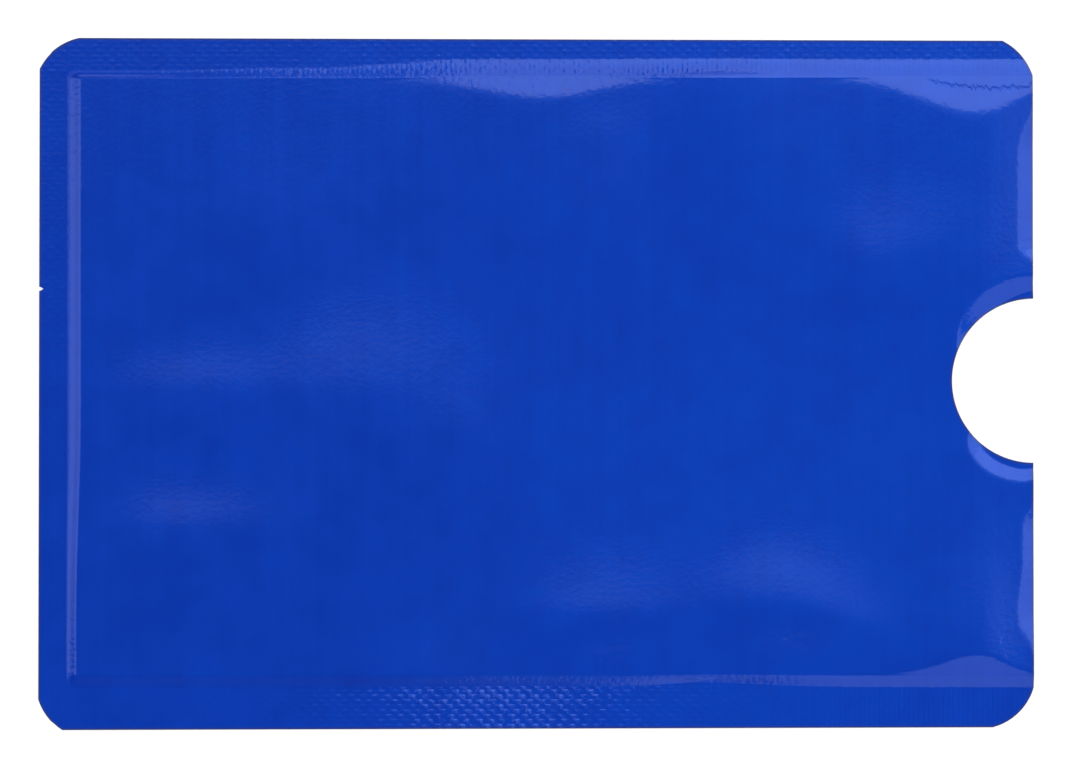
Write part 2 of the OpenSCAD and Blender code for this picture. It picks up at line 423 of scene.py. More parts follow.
# Points and four-cornered cells of the whole sheet. A cell's zone is 0 in the pocket, 1 in the upper
# band, 2 in the lower band and 3 in the band of the closed end.
def sheetGrid():
    rows, columns = rowPlaces(), columnPlaces()
    left = rowLimit(rows, -1)[:, None]
    zone = grid["endZoneX"]
    squeeze = (zone - left) / (zone - endEdge(rows, -1)[:, None])
    squeezed = np.abs(rows - outline["nickY"]) < grid["nickZone"]
    squeezed = squeezed | (rows > pocket["topY"] - grid["cornerRows"])
    squeezed = squeezed | (rows < pocket["bottomY"] + grid["cornerRows"])
    squeeze = np.where(squeezed[:, None], squeeze, 1)
    endBand = pocket["endX"]
    x = np.where(columns[None, :] < zone, zone - (zone - columns[None, :]) * squeeze, columns[None, :])
    # rows clear of the corners keep the weld's edge straight, and only the band itself slants
    straight = left + (columns[None, :] - columns[0]) * (endBand - left) / (endBand - columns[0])
    straight = np.where(columns[None, :] < endBand, straight, columns[None, :])
    clear = left < endBand - grid["straight"]
    x = np.where(clear, straight, x)
    y = rowHeight(rows[:, None], x)
    body = np.stack([x, y], -1)

    low = int(np.argmin(np.abs(rows - (outline["notchY"] - grid["fanHalf"]))))
    high = int(np.argmin(np.abs(rows - (outline["notchY"] + grid["fanHalf"]))))
    share = 1 - gradedPlaces(*grid["mouthSteps"])[::-1]

    # a block beside the mouth: from the body's last column to the mouth's line or the corner's arc
    def mouthBlock(rowList, start):
        right = rowLimit(rowList, 1)[:, None]
        bx = start[:, :1] + (right - start[:, :1]) * share[None, :]
        by = rowHeight(rowList[:, None], bx)
        by[:, 0] = start[:, 1]
        return np.stack([bx, by], -1)

    upper = mouthBlock(rows[high:], body[high:, -1])
    lower = mouthBlock(rows[:low + 1], body[:low + 1, -1])

    # the fan: its rim runs from the upper block's first row down the body's side to the lower block's last
    rim = np.concatenate([upper[0, ::-1], body[low + 1:high, -1][::-1], lower[-1]])
    steps = np.hypot(*np.diff(rim, axis=0).T)
    angle = np.pi / 2 + np.pi * np.concatenate([[0], np.cumsum(steps)]) / steps.sum()
    inner = np.stack([halfLength + outline["notchRadius"] * np.cos(angle),
                      outline["notchY"] + outline["notchRadius"] * np.sin(angle)], -1)
    inner[0, 0], inner[-1, 0] = rim[0, 0], rim[-1, 0]
    outward = gradedPlaces(*grid["fanSteps"])
    fan = inner[:, None, :] + (rim - inner)[:, None, :] * outward[None, :, None]
    fan[:, -1] = rim

    # cells of one block, by its first point's number and its shape
    def cells(start, shape):
        index = start + np.arange(shape[0] * shape[1]).reshape(shape)
        return np.stack([index[:-1, :-1], index[:-1, 1:], index[1:, 1:], index[1:, :-1]], -1).reshape(-1, 4)

    blocks = [body, upper, lower, fan]
    counts = np.cumsum([0] + [b.shape[0] * b.shape[1] for b in blocks])
    quads = np.concatenate([cells(counts[k], b.shape[:2]) for k, b in enumerate(blocks)])
    points = np.concatenate([b.reshape(-1, 2) for b in blocks])
    rowOf = np.concatenate([np.repeat(rows, body.shape[1]), np.repeat(rows[high:], upper.shape[1]),
                            np.repeat(rows[:low + 1], lower.shape[1]), np.zeros(fan[..., 0].size)])
    besideBody = np.full(len(points) - len(rows) * len(columns), grid["fanX"])
    columnOf = np.concatenate([np.tile(columns, len(rows)), besideBody])
    middleRow = rowOf[quads].mean(1)
    middleColumn = columnOf[quads].mean(1)
    zones = np.where(middleRow > pocket["topY"], 1, np.where(middleRow < pocket["bottomY"], 2,
                     np.where(middleColumn < pocket["endX"], 3, 0)))

    # points that two blocks share become one
    _, first, number = np.unique(np.round(points, 6), axis=0, return_index=True, return_inverse=True)
    quads = number.reshape(-1)[quads]
    points = points[first]
    edges = points[quads]
    area = ((edges[:, 2, 0] - edges[:, 0, 0]) * (edges[:, 3, 1] - edges[:, 1, 1])
            - (edges[:, 3, 0] - edges[:, 1, 0]) * (edges[:, 2, 1] - edges[:, 0, 1])) / 2
    keep = area > grid["least"]
    print("grid:", len(points), "points,", int(keep.sum()), "cells")
    return points, quads[keep], zones[keep]


# One colour of the palette, from sRGB hex to the linear values that the shader takes
def linear(hexColour):
    parts = [int(hexColour[i:i + 2], 16) / 255 for i in (1, 3, 5)]
    return [c / 12.92 if c <= 0.04045 else ((c + 0.055) / 1.055) ** 2.4 for c in parts] + [1.0]


# Adds one node to a tree: settings are its properties, inputs its sockets by name or number. An input
# that is an output socket is linked, and one that is a node is linked from that node's first output.
def addNode(tree, kind, settings=None, inputs=None):
    node = tree.nodes.new(kind)
    for name, value in (settings or {}).items():
        setattr(node, name, value)
    for name, value in (inputs or {}).items():
        if isinstance(value, bpy.types.Node):
            value = value.outputs[0]
        if isinstance(value, bpy.types.NodeSocket):
            tree.links.new(value, node.inputs[name])
        else:
            node.inputs[name].default_value = value
    return node


# Settings that many nodes share
add, subtract = {"operation": "ADD"}, {"operation": "SUBTRACT"}
multiply, divide = {"operation": "MULTIPLY"}, {"operation": "DIVIDE"}
multiplyAdd, maximum = {"operation": "MULTIPLY_ADD"}, {"operation": "MAXIMUM"}
smoothStep = {"interpolation_type": "SMOOTHSTEP"}


# A node material with nothing in its tree yet
def newMaterial(name):
    material = bpy.data.materials.new(name)
    material.use_nodes = True
    material.node_tree.nodes.clear()
    return material, material.node_tree


# Polyester film, printed blue, glued to foil and lacquered: deep flat blue with the foil's broad
# sheen under a hard clear gloss, and the sealing bar's cloth pressed into its borders
film = {
    "blue": "#0A3DCB",
    "blueDark": "#0930BA",
    "edgeShadeColour": "#3A3A78",      # painted shade along the cut edges, where the edge bends away from the light
    "edgeShade": (0.28, 0.85),    # how far in from a cut, in millimetres, and how much of the colour
    # what the ink's shade varies by: scale per millimetre along X, Y and Z, detail, roughness and share.
    # A slow drift, the lines of the print roller, 0.55 mm apart, and a mottle.
    "inkNoises": [
        ((0.09, 0.09, 0.09), 3.0, 0.55, 0.35),
        ((1 / 0.55, 0.03, 1.0), 2.0, 0.5, 0.2),
        ((0.35, 0.35, 0.35), 5.0, 0.7, 0.35),
    ],
    # the blue is also painted darker towards the upper closed corner and lighter towards the opposite side,
    # as painted shade and light
    # across the sleeve: X less a share of Y, where that starts and ends, and the shade there
    "paintedShadeSlope": {"share": 0.5, "start": -52.0, "end": 27.0, "least": -0.14, "most": 0.36},
    "metal": 0.35,             # share of light that comes back from the foil
    "foilTint": (0.12, 0.8, 1.0, 1.0),
    "roughness": 0.28,
    "coatRoughness": 0.045,
    "grain": (4.0, 0.004),     # foil grain: scale per millimetre and depth in millimetres
    # lacquer: scales of its coarse and its fine peel, the coarse one's share, and depth in millimetres
    "peel": {"coarse": 0.5, "fine": 2.4, "share": 0.3, "depth": 0.016},
}

# The sealing cloth's weave, in millimetres, and how unevenly it pressed
weave = {
    "floatLength": 1.12,
    "rowHeight": 0.45,
    "ribSpacing": 0.45,
    "depth": 0.025,
    "rowSlip": 0.16,           # how far a row may slip, as a share of a float
    "uneven": (1.3, 0.2, 1.6),   # scale per millimetre, weakest and strongest
}

# A crinkle across the upper corner at the mouth, in millimetres: a shallow bowl of a line, lowest at x, y
crease = {
    "x": 42.0,
    "y": 27.0,
    "bow": 0.018,              # rise per square millimetre
    "waver": 1.0,
    "waverScale": 1.6,
    "halfWidth": 0.12,
    "begins": 35.2,
    "fadesIn": 1.5,
    "depth": 0.02,
}


def printedFilm():
    material, tree = newMaterial("printedPolyesterFilmOverFoil")
    place = addNode(tree, "ShaderNodeTexCoord").outputs["Object"]
    inMm = addNode(tree, "ShaderNodeVectorMath", {"operation": "SCALE"}, {0: place, "Scale": 1000.0})
    split = addNode(tree, "ShaderNodeSeparateXYZ", None, {0: inMm})
    x, y = split.outputs["X"], split.outputs["Y"]

    # colour: the shade between dark and blue is the sum of the painted light and shade across the sleeve
    # and the ink's noises, each noise stretched to its full range first
    shadeSlope = film["paintedShadeSlope"]
    slant = addNode(tree, "ShaderNodeMath", multiply, {0: y, 1: shadeSlope["share"]})
    slant = addNode(tree, "ShaderNodeMath", subtract, {0: x, 1: slant})
    shade = addNode(tree, "ShaderNodeMapRange", None,
                    {0: slant, 1: shadeSlope["start"], 2: shadeSlope["end"], 3: shadeSlope["least"], 4: shadeSlope["most"]})
    for scales, detail, roughness, share in film["inkNoises"]:
        scaled = addNode(tree, "ShaderNodeMapping", None, {"Vector": inMm, "Scale": scales})
        noise = addNode(tree, "ShaderNodeTexNoise", None,
                        {"Vector": scaled, "Scale": 1.0, "Detail": detail, "Roughness": roughness})
        part = addNode(tree, "ShaderNodeMapRange", None, {0: noise, 1: 0.35, 2: 0.65, 3: 0.0, 4: share})
        shade = addNode(tree, "ShaderNodeMath", add, {0: shade, 1: part})
    blue = addNode(tree, "ShaderNodeMix", {"data_type": "RGBA"},
                   {0: shade, 6: linear(film["blueDark"]), 7: linear(film["blue"])}).outputs[2]
    # next to a cut the blue is painted dull and a little purple: painted shade of the edge turned away from
    # the light
    cut = addNode(tree, "ShaderNodeAttribute", {"attribute_name": "cutDistance"}).outputs["Fac"]
    reach, strength = film["edgeShade"]
    edgeShade = addNode(tree, "ShaderNodeMapRange", smoothStep,
                     {0: cut, 1: 0.0, 2: reach, 3: strength, 4: 0.0})
    colour = addNode(tree, "ShaderNodeMix", {"data_type": "RGBA"},
                     {0: edgeShade, 6: blue, 7: linear(film["edgeShadeColour"])}).outputs[2]

    # the sealing cloth: rows of raised floats, each row half a float on from the last and a little off.
    # A float is half a sine across its row times a raised cosine along it.
    rowPlace = addNode(tree, "ShaderNodeMath", divide, {0: y, 1: weave["rowHeight"]})
    row = addNode(tree, "ShaderNodeMath", {"operation": "FLOOR"}, {0: rowPlace})
    across = addNode(tree, "ShaderNodeMath", {"operation": "FRACT"}, {0: rowPlace})
    across = addNode(tree, "ShaderNodeMath", multiply, {0: across, 1: math.pi})
    across = addNode(tree, "ShaderNodeMath", {"operation": "SINE"}, {0: across})
    rowSlip = addNode(tree, "ShaderNodeTexWhiteNoise", {"noise_dimensions": "1D"}, {"W": row})
    rowSlip = addNode(tree, "ShaderNodeMath", multiply, {0: rowSlip, 1: weave["rowSlip"]})
    halfFloats = addNode(tree, "ShaderNodeMath", multiply, {0: row, 1: 0.5})
    slip = addNode(tree, "ShaderNodeMath", add, {0: halfFloats, 1: rowSlip})
    turns = addNode(tree, "ShaderNodeMath", divide, {0: x, 1: weave["floatLength"]})
    turns = addNode(tree, "ShaderNodeMath", add, {0: turns, 1: slip})
    along = addNode(tree, "ShaderNodeMath", multiply, {0: turns, 1: 2 * math.pi})
    along = addNode(tree, "ShaderNodeMath", {"operation": "COSINE"}, {0: along})
    along = addNode(tree, "ShaderNodeMath", multiplyAdd, {0: along, 1: 0.5, 2: 0.5})
    floats = addNode(tree, "ShaderNodeMath", multiply, {0: across, 1: along})
    floatDepth = addNode(tree, "ShaderNodeAttribute", {"attribute_name": "clothFloats"}).outputs["Fac"]
    floats = addNode(tree, "ShaderNodeMath", multiply, {0: floats, 1: floatDepth})
    # ribs where the cloth's warp pressed harder: a cosine along X
    turnRate = 2 * math.pi / weave["ribSpacing"]
    ribs = addNode(tree, "ShaderNodeMath", multiply, {0: x, 1: turnRate})
    ribs = addNode(tree, "ShaderNodeMath", {"operation": "COSINE"}, {0: ribs})
    ribDepth = addNode(tree, "ShaderNodeAttribute", {"attribute_name": "clothRibs"}).outputs["Fac"]
    ribs = addNode(tree, "ShaderNodeMath", multiply, {0: ribs, 1: ribDepth})
    pressed = addNode(tree, "ShaderNodeMath", add, {0: floats, 1: ribs})
    scale, weakest, strongest = weave["uneven"]
    uneven = addNode(tree, "ShaderNodeTexNoise", None, {"Vector": inMm, "Scale": scale, "Detail": 4.0})
    uneven = addNode(tree, "ShaderNodeMapRange", None,
                     {0: uneven, 1: 0.35, 2: 0.65, 3: weakest, 4: strongest})
    pressed = addNode(tree, "ShaderNodeMath", multiply, {0: pressed, 1: uneven})

    # the crinkle: a bell-shaped groove across a parabola that wavers
    waver = addNode(tree, "ShaderNodeMath", multiply, {0: x, 1: crease["waverScale"]})
    waver = addNode(tree, "ShaderNodeTexNoise", {"noise_dimensions": "1D"},
                    {"W": waver, "Scale": 1.0, "Detail": 3.0, "Roughness": 0.7})
    waver = addNode(tree, "ShaderNodeMath", subtract, {0: waver, 1: 0.5})
    waver = addNode(tree, "ShaderNodeMath", multiply, {0: waver, 1: crease["waver"]})
    off = addNode(tree, "ShaderNodeMath", subtract, {0: x, 1: crease["x"]})
    line = addNode(tree, "ShaderNodeMath", multiply, {0: off, 1: off})
    line = addNode(tree, "ShaderNodeMath", multiplyAdd, {0: line, 1: crease["bow"], 2: crease["y"]})
    line = addNode(tree, "ShaderNodeMath", add, {0: line, 1: waver})
    away = addNode(tree, "ShaderNodeMath", subtract, {0: y, 1: line})
    away = addNode(tree, "ShaderNodeMath", divide, {0: away, 1: crease["halfWidth"]})
    away = addNode(tree, "ShaderNodeMath", multiply, {0: away, 1: away})
    groove = addNode(tree, "ShaderNodeMath", multiply, {0: away, 1: -1.0})
    groove = addNode(tree, "ShaderNodeMath", {"operation": "EXPONENT"}, {0: groove})
    # its depth is a share of the cloth's, which the one bump is scaled by
    start, deepest = crease["begins"], -crease["depth"] / weave["depth"]
    depth = addNode(tree, "ShaderNodeMapRange", smoothStep,
                    {0: x, 1: start, 2: start + crease["fadesIn"], 3: 0.0, 4: deepest})
    groove = addNode(tree, "ShaderNodeMath", multiply, {0: groove, 1: depth})
    pressed = addNode(tree, "ShaderNodeMath", add, {0: pressed, 1: groove})
    cloth = addNode(tree, "ShaderNodeBump", None,
                    {"Strength": 1.0, "Distance": weave["depth"] * mm, "Height": pressed})

    # lacquer: orange peel a millimetre or two across, with a finer one on it that frays every reflection
    peel = film["peel"]
    coarse = addNode(tree, "ShaderNodeTexNoise", None,
                     {"Vector": inMm, "Scale": peel["coarse"], "Detail": 0.0})
    fine = addNode(tree, "ShaderNodeTexNoise", None, {"Vector": inMm, "Scale": peel["fine"], "Detail": 2.0})
    peels = addNode(tree, "ShaderNodeMath", multiplyAdd, {0: coarse, 1: peel["share"], 2: fine})
    coatBump = addNode(tree, "ShaderNodeBump", None,
                       {"Strength": 1.0, "Distance": peel["depth"] * mm, "Height": peels, "Normal": cloth})
    # foil seen through the ink: a finer, flatter grain than the lacquer's
    scale, depth = film["grain"]
    grain = addNode(tree, "ShaderNodeTexNoise", None, {"Vector": inMm, "Scale": scale, "Detail": 3.0})
    baseBump = addNode(tree, "ShaderNodeBump", None,
                       {"Strength": 1.0, "Distance": depth * mm, "Height": grain, "Normal": cloth})
    shader = addNode(tree, "ShaderNodeBsdfPrincipled", None, {
        "Base Color": colour, "Metallic": film["metal"], "Roughness": film["roughness"], "IOR": 1.5,
        "Specular IOR Level": 0.9, "Specular Tint": film["foilTint"], "Normal": baseBump,
        "Coat Weight": 1.0, "Coat Roughness": film["coatRoughness"], "Coat IOR": 1.5,
        "Coat Normal": coatBump})
    addNode(tree, "ShaderNodeOutputMaterial", None, {"Surface": shader})
    return material


# Rolled aluminium foil, bright side out: silver, with the fine lines of the rolls along X. The lines are
# 0.17 mm apart, wider than real ones, so that they show.
foilFinish = {
    "colour": "#D5D7DA",
    "lines": (200.0, 6000.0, 6000.0),   # scale per metre along X, Y and Z
    "roughness": (0.24, 0.36),
    "depth": 0.002,
}


def rolledFoil():
    material, tree = newMaterial("rolledAluminiumFoil")
    place = addNode(tree, "ShaderNodeTexCoord").outputs["Object"]
    rolled = addNode(tree, "ShaderNodeMapping", None, {"Vector": place, "Scale": foilFinish["lines"]})
    lines = addNode(tree, "ShaderNodeTexNoise", None, {"Vector": rolled, "Scale": 1.0, "Detail": 2.0})
    smooth, dull = foilFinish["roughness"]
    rough = addNode(tree, "ShaderNodeMapRange", None, {0: lines, 1: 0.3, 2: 0.7, 3: smooth, 4: dull})
    bump = addNode(tree, "ShaderNodeBump", None,
                   {"Strength": 0.6, "Distance": foilFinish["depth"] * mm, "Height": lines})
    shader = addNode(tree, "ShaderNodeBsdfPrincipled", None, {
        "Base Color": linear(foilFinish["colour"]), "Metallic": 1.0, "Roughness": rough, "Normal": bump})
    addNode(tree, "ShaderNodeOutputMaterial", None, {"Surface": shader})
    return material


# Polyethylene sealing film over foil, blown and slightly hazy: silver grey with a milky sheen
linerFinish = {
    "clear": "#A9ADB4",
    "milky": "#C3C7CC",
    "hazeScale": 900.0,        # per metre: clouds about a millimetre across
    "roughness": (0.3, 0.45),
    "depth": 0.004,
}


def sealingFilm():
    material, tree = newMaterial("polyethyleneLinerOverFoil")
    place = addNode(tree, "ShaderNodeTexCoord").outputs["Object"]
    haze = addNode(tree, "ShaderNodeTexNoise", None,
                   {"Vector": place, "Scale": linerFinish["hazeScale"], "Detail": 4.0})
    tone = addNode(tree, "ShaderNodeMix", {"data_type": "RGBA"},
                   {0: haze, 6: linear(linerFinish["clear"]), 7: linear(linerFinish["milky"])}).outputs[2]
    smooth, dull = linerFinish["roughness"]
    rough = addNode(tree, "ShaderNodeMapRange", None, {0: haze, 1: 0.3, 2: 0.7, 3: smooth, 4: dull})
    bump = addNode(tree, "ShaderNodeBump", None,
                   {"Strength": 0.7, "Distance": linerFinish["depth"] * mm, "Height": haze})
    shader = addNode(tree, "ShaderNodeBsdfPrincipled", None, {
        "Base Color": tone, "Metallic": 0.7, "Roughness": rough, "IOR": 1.51,
        "Coat Weight": 0.6, "Coat Roughness": 0.18, "Normal": bump})
    addNode(tree, "ShaderNodeOutputMaterial", None, {"Surface": shader})
    return material


# Two sealing films melted into one: clearer and greyer than the liner, and squeezed into faint rows
sealFinish = {
    "dark": "#8E939B",
    "pale": "#A7ACB3",
    "rowScale": 350.0,         # per metre
    "roughness": 0.33,
    "depth": 0.006,
}


def meltedSeal():
    material, tree = newMaterial("heatSealedPolyethylene")
    place = addNode(tree, "ShaderNodeTexCoord").outputs["Object"]
    rows = addNode(tree, "ShaderNodeTexWave", {"bands_direction": "Y"},
                   {"Vector": place, "Scale": sealFinish["rowScale"], "Distortion": 2.0, "Detail": 2.0})
    rows = rows.outputs["Fac"]
    tone = addNode(tree, "ShaderNodeMix", {"data_type": "RGBA"},
                   {0: rows, 6: linear(sealFinish["dark"]), 7: linear(sealFinish["pale"])}).outputs[2]
    bump = addNode(tree, "ShaderNodeBump", None,
                   {"Strength": 0.6, "Distance": sealFinish["depth"] * mm, "Height": rows})
    shader = addNode(tree, "ShaderNodeBsdfPrincipled", None, {
        "Base Color": tone, "Metallic": 0.35, "Roughness": sealFinish["roughness"], "IOR": 1.51,
        "Normal": bump})
    addNode(tree, "ShaderNodeOutputMaterial", None, {"Surface": shader})
    return material


sharpAngle = 50.0   # degrees past which an edge between two faces is shaded sharp


# A closed layer over some of the sheet's cells: the cells at two heights, and a wall along every edge
# that only one cell has. Low and high are heights of the points, in millimetres.
def layer(name, points, quads, low, high, material, replaced, attributes=None):
    used, number = np.unique(quads, return_inverse=True)
    number = number.reshape(quads.shape)
    count = len(used)
    bottom = np.column_stack([points[used], low[used]])
    top = np.column_stack([points[used], high[used]])
    starts, ends = number.ravel(), np.roll(number, -1, axis=1).ravel()
    key = np.minimum(starts, ends) * count + np.maximum(starts, ends)
    _, where, times = np.unique(key, return_inverse=True, return_counts=True)
    rim = times[where.ravel()] == 1
    a, b = starts[rim], ends[rim]
    # a wall runs a, b below and b, a above, so that it faces away from the sheet
    walls = np.stack([a, b, b + count, a + count], -1)
    faces = np.concatenate([number[:, ::-1], number + count, walls])
    mesh = bpy.data.meshes.new(name)
    mesh.vertices.add(2 * count)
    mesh.vertices.foreach_set("co", (np.concatenate([bottom, top]) * mm).astype(np.float32).ravel())
    mesh.loops.add(faces.size)
    mesh.loops.foreach_set("vertex_index", faces.ravel().astype(np.int32))
    mesh.polygons.add(len(faces))
    mesh.polygons.foreach_set("loop_start", (np.arange(len(faces)) * 4).astype(np.int32))
    mesh.update(calc_edges=True)
    mesh.polygons.foreach_set("use_smooth", np.ones(len(faces), bool))
    mesh.set_sharp_from_angle(angle=math.radians(sharpAngle))
    for label, values in (attributes or {}).items():
        attribute = mesh.attributes.new(label, "FLOAT", "POINT")
        attribute.data.foreach_set("value", np.tile(values[used], 2).astype(np.float32))
    mesh.validate()
    mesh.materials.append(material)
    piece = bpy.data.objects.new(name, mesh)
    bpy.context.scene.collection.objects.link(piece)
    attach(piece, "root")
    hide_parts(replaced)
    print("piece", name, len(faces), "faces")
    return piece


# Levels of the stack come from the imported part
def levelsOfStack():
    filmLow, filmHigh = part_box("back_face_film")
    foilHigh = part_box("back_foil_shield")[1]
    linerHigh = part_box("back_liner")[1]
    return [filmLow.z / mm, filmHigh.z / mm, foilHigh.z / mm, linerHigh.z / mm]


# How deep the sealing cloth went in, as shares of its weave's depth. It reached past the welds on the upper
# and lower sides, and almost to the weld's edge at the closed end.
cloth = {
    "upperRim": 28.32,
    "lowerRim": -27.6,
    "endRim": -43.05,
    "rimFade": 0.12,
    "floats": {"upper": 0.16, "lower": 0.1, "end": 0.12},
    "ribs": {"upper": 0.04, "lower": 0.0, "end": 0.04},
    # stretches of the lower band that show more floats: place, spread towards -X and +X, and extra depth
    "stretches": [(-6.0, 13.0, 18.0, 0.5), (-3.5, 8.0, 8.0, 1.1)],
    "besideWeld": (0.9, 0.8, 0.6),     # their deepest row: how far below the rim, spread and extra share
    "upperRibs": (5.0, 12.0, 0.04),    # ribs grow towards the mouth: from where, over what way, by how much
    "lowerRibs": (18.0, 14.0, 0.1),
}


def clothDepths(x, y):
    upper = ease((y - cloth["upperRim"]) / cloth["rimFade"])
    lower = ease((cloth["lowerRim"] - y) / cloth["rimFade"])
    end = ease((cloth["endRim"] - x) / cloth["rimFade"])
    along = 0.0
    for place, left, right, extra in cloth["stretches"]:
        along = along + extra * bell((x - place) / np.where(x < place, left, right))
    below, spread, extra = cloth["besideWeld"]
    along = along * (1 + extra * bell((y - cloth["lowerRim"] + below) / spread))
    depth = cloth["floats"]
    floats = upper * depth["upper"] + lower * (depth["lower"] + along) + end * depth["end"]
    depth = cloth["ribs"]
    start, way, extra = cloth["upperRibs"]
    upperRibs = depth["upper"] + extra * ease((x - start) / way)
    start, way, extra = cloth["lowerRibs"]
    lowerRibs = depth["lower"] + extra * ease((x - start) / way)
    return floats, upper * upperRibs + lower * lowerRibs + end * depth["end"]


# Every layer of both panels, and the three welds between them
def buildSleeve():
    points, quads, zones = sheetGrid()
    x, y = points[:, 0], points[:, 1]
    tableTop, filmTop, foilTop, pocketFloor = levelsOfStack()
    flat = np.zeros_like(x)
    ceiling = pocketFloor + pocketGap(x, y)
    linerTop = ceiling + pocketFloor - foilTop
    frontFoilTop = linerTop + foilTop - filmTop
    frontTop = frontFoilTop + filmTop - tableTop
    pocketQuads = quads[zones == 0]
    floats, ribs = clothDepths(x, y)
    marks = {"cutDistance": cutDistance(x, y), "clothFloats": floats, "clothRibs": ribs}
    blue, silver, inner, melted = printedFilm(), rolledFoil(), sealingFilm(), meltedSeal()
    layer("printedFilmBack", points, quads, flat + tableTop, flat + filmTop, blue,
          "back_face_film", marks)
    layer("shieldFoilBack", points, quads, flat + filmTop, flat + foilTop, silver,
          "back_foil_shield")
    layer("sealingLinerBack", points, pocketQuads, flat + foilTop, flat + pocketFloor, inner,
          "back_liner")
    layer("sealingLinerFront", points, pocketQuads, ceiling, linerTop, inner,
          "front_liner")
    layer("shieldFoilFront", points, quads, linerTop, frontFoilTop, silver,
          "front_foil_shield")
    layer("printedFilmFront", points, quads, frontFoilTop, frontTop, blue,
          "front_face_film", marks)
    # a weld fills its band from the back foil to the front one
    weldTop = flat + pocketFloor + pocketFloor - foilTop
    welds = [("weldUpperSide", 1, "upper_side_seal"), ("weldLowerSide", 2, "lower_side_seal"),
             ("weldClosedEnd", 3, "closed_end_seal")]
    for name, zone, node in welds:
        layer(name, points, quads[zones == zone], flat + foilTop, weldTop, melted, node)
    print("highest point, mm:", round(float(frontTop.max()), 3))


buildSleeve()

# Studio: a pale floor that turns up into a backdrop, seen white, with the sleeve's shadow on it
studio = {
    "floorRadius": 2.6,
    "coveRadius": 0.35,
    "wallHeight": 0.55,
    "floorDrop": 0.00002,      # keeps the floor clear of the sleeve's back
    "floorColour": "#BCBCBC",
    "floorGlow": 0.56,         # what a camera sees on top of the lit floor
    "turns": 96,               # cells round the floor
    "rings": (0.3, 1.0),       # radii of the flat part's rings
    "coveRings": 17,
}


# The floor is a profile turned about Z: flat out to the cove, a quarter circle up, then a short wall
def buildFloor():
    radius, cove = studio["floorRadius"], studio["coveRadius"]
    rings = studio["rings"]
    bend = np.linspace(0, math.pi / 2, studio["coveRings"])
    out = np.concatenate([rings, radius - cove + cove * np.sin(bend), [radius]])
    up = np.concatenate([np.zeros(len(rings)), cove - cove * np.cos(bend), [cove + studio["wallHeight"]]])
    turn = np.linspace(0, 2 * math.pi, studio["turns"] + 1)[:-1]
    points = np.stack([np.outer(out, np.cos(turn)), np.outer(out, np.sin(turn)),
                       np.outer(up, np.ones_like(turn)) - studio["floorDrop"]], -1)
    index = np.arange(len(out) * len(turn)).reshape(-1, len(turn))
    after = np.roll(index, -1, axis=1)
    faces = np.stack([index[:-1], index[1:], after[1:], after[:-1]], -1).reshape(-1, 4)
    # one many-sided face fills the first ring
    mesh = bpy.data.meshes.new("paleFloor")
    mesh.from_pydata(points.reshape(-1, 3).tolist(), [], faces.tolist() + [index[0].tolist()])
    mesh.polygons.foreach_set("use_smooth", np.ones(len(mesh.polygons), bool))
    floor = bpy.data.objects.new("paleFloor", mesh)
    bpy.context.scene.collection.objects.link(floor)
    material, tree = newMaterial("mattWhitePaint")
    path = addNode(tree, "ShaderNodeLightPath")
    seen = addNode(tree, "ShaderNodeMath", maximum,
                   {0: path.outputs["Is Camera Ray"], 1: path.outputs["Is Glossy Ray"]})
    seen = addNode(tree, "ShaderNodeMath", maximum, {0: seen, 1: path.outputs["Is Transmission Ray"]})
    paint = addNode(tree, "ShaderNodeBsdfDiffuse", None, {"Color": linear(studio["floorColour"])})
    strength = addNode(tree, "ShaderNodeMath", multiply, {0: seen, 1: studio["floorGlow"]})
    glow = addNode(tree, "ShaderNodeEmission", None, {"Strength": strength})
    both = addNode(tree, "ShaderNodeAddShader", None, {0: paint, 1: glow})
    addNode(tree, "ShaderNodeOutputMaterial", None, {"Surface": both})
    mesh.materials.append(material)
    return floor


# Lamps in the plane of the ceiling, each given by the directions that it fills: low and high X and low and
# high Y over height. Then its height, what a mirror shows of it, and its turn in degrees.
lamps = {
    "softboxUpper": (-0.064, 1.7, 0.2, 2.6, 0.8, 1.03, 0.6),
    "softboxUpperRim": (-0.082, -0.064, 0.3, 2.6, 0.8, 0.2, 0.6),
    "softboxLower": (0.052, 1.5, -2.6, -0.28, 0.8, 0.55, 0.0),
    "softboxMouth": (0.34, 1.5, -0.16, 0.16, 0.8, 0.72, 0.0),
    "stripNear": (-0.45, -0.28, -0.125, 0.13, 0.79, 0.5, 0.0),
    "stripMiddle": (-1.0, -0.45, -0.125, 0.13, 0.79, 0.95, 0.0),
    "stripFar": (-3.2, -1.0, -0.125, 0.13, 0.79, 0.75, 0.0),
    "overheadFill": (-0.9, 0.9, -0.9, 0.9, 1.2, 1.45, 0.0),
}

# The room's own light by direction, in which up is Y over height and side is X over height: where it
# begins, where it is full, and how bright it is there
room = {
    "upperSide": (0.02, 0.17, 0.31),
    "upperFades": (0.25, 0.6, 0.25),   # further out: where that dims, where it has dimmed, and what is left
    "mouthSide": (0.09, 0.24, 0.24),
    "mouthSideFrom": (-0.035, 0.0),    # the lower half of the mouth's side stays dark up to here
    "lowerSide": (-0.35, -0.9, 0.07),
    "walls": (0.3, 0.1, 0.45),         # by the height of the direction itself
    "lowest": 0.05,                    # X and Y are shared by no height less than this
}


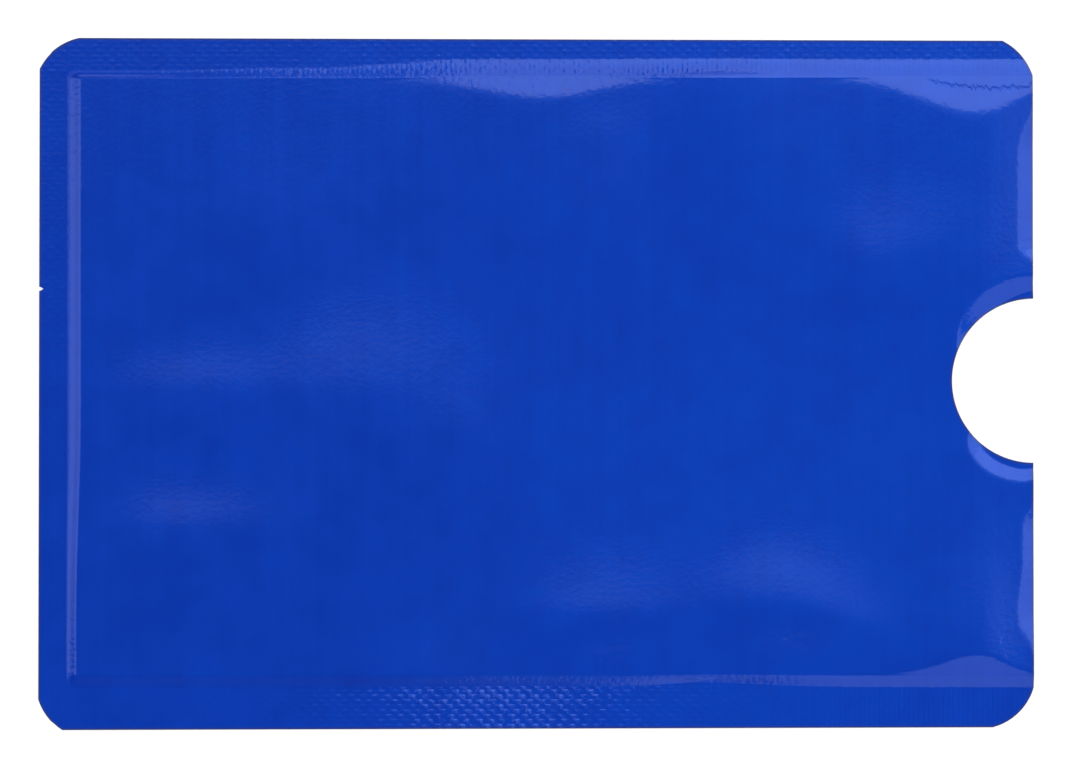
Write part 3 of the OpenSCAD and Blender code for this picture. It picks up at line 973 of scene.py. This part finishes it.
# One rectangular lamp. Its power is pi times its area times what a mirror shows. The fill lights only the
# ink: a mirror image of it would cover the sleeve.
def ceilingLamp(name, row):
    lowX, highX, lowY, highY, height, brightness, turn = row
    data = bpy.data.lights.new(name, "AREA")
    data.shape = "RECTANGLE"
    data.size, data.size_y = (highX - lowX) * height, (highY - lowY) * height
    data.energy = math.pi * data.size * data.size_y * brightness
    lamp = bpy.data.objects.new(name, data)
    lamp.location = ((lowX + highX) / 2 * height, (lowY + highY) / 2 * height, height)
    lamp.rotation_euler = (0, 0, math.radians(turn))
    lamp.visible_camera = False
    lamp.visible_glossy = name != "overheadFill"
    bpy.context.scene.collection.objects.link(lamp)


def buildLights():
    for name, row in lamps.items():
        ceilingLamp(name, row)


# The room: dark overhead, paler towards the upper side, the mouth's side and the walls
def buildRoom():
    world = bpy.data.worlds.new("studioRoom")
    bpy.context.scene.world = world
    world.use_nodes = True
    tree = world.node_tree
    tree.nodes.clear()
    way = addNode(tree, "ShaderNodeTexCoord").outputs["Generated"]
    split = addNode(tree, "ShaderNodeSeparateXYZ", None, {0: way})
    x, y, z = split.outputs["X"], split.outputs["Y"], split.outputs["Z"]
    height = addNode(tree, "ShaderNodeMath", maximum, {0: z, 1: room["lowest"]})
    up = addNode(tree, "ShaderNodeMath", divide, {0: y, 1: height})
    side = addNode(tree, "ShaderNodeMath", divide, {0: x, 1: height})
    parts = {}
    for name, lean in (("upperSide", up), ("mouthSide", side), ("lowerSide", up), ("walls", z)):
        begins, full, bright = room[name]
        parts[name] = addNode(tree, "ShaderNodeMapRange", smoothStep,
                              {0: lean, 1: begins, 2: full, 3: 0.0, 4: bright})
    dims, dimmed, left = room["upperFades"]
    fade = addNode(tree, "ShaderNodeMapRange", smoothStep, {0: up, 1: dims, 2: dimmed, 3: 1.0, 4: left})
    light = addNode(tree, "ShaderNodeMath", multiply, {0: parts["upperSide"], 1: fade})
    begins, full = room["mouthSideFrom"]
    upperHalf = addNode(tree, "ShaderNodeMapRange", None, {0: up, 1: begins, 2: full, 3: 0.0, 4: 1.0})
    beside = addNode(tree, "ShaderNodeMath", multiply, {0: parts["mouthSide"], 1: upperHalf})
    light = addNode(tree, "ShaderNodeMath", maximum, {0: light, 1: beside})
    light = addNode(tree, "ShaderNodeMath", maximum, {0: light, 1: parts["lowerSide"]})
    light = addNode(tree, "ShaderNodeMath", add, {0: light, 1: parts["walls"]})
    background = addNode(tree, "ShaderNodeBackground", None,
                         {"Color": linear("#FFFFFF"), "Strength": light})
    addNode(tree, "ShaderNodeOutputWorld", None, {"Surface": background})


# Camera straight above, with a long lens: the frame is 97.9 mm wide at the sleeve's middle height
camera = {
    "pixels": 1072,            # the picture's width
    "pixelsPerMm": 10.95,
    "sensor": 36.0,
    "lens": 200.0,
    "aim": (0.0, 0.0, 0.0006),
    "clip": (0.01, 10.0),
}


def buildCamera():
    data = bpy.data.cameras.new("overheadCamera")
    data.sensor_width = camera["sensor"]
    data.lens = camera["lens"]
    data.clip_start, data.clip_end = camera["clip"]
    shot = bpy.data.objects.new("overheadCamera", data)
    frameWidth = camera["pixels"] / camera["pixelsPerMm"] * mm
    distance = frameWidth * camera["lens"] / camera["sensor"]
    shot.location = Vector(camera["aim"]) + Vector((0, 0, distance))
    bpy.context.scene.collection.objects.link(shot)
    bpy.context.scene.camera = shot


buildFloor()
buildLights()
buildRoom()
buildCamera()
bpy.context.scene.view_settings.view_transform = "Standard"
print("studio ready")
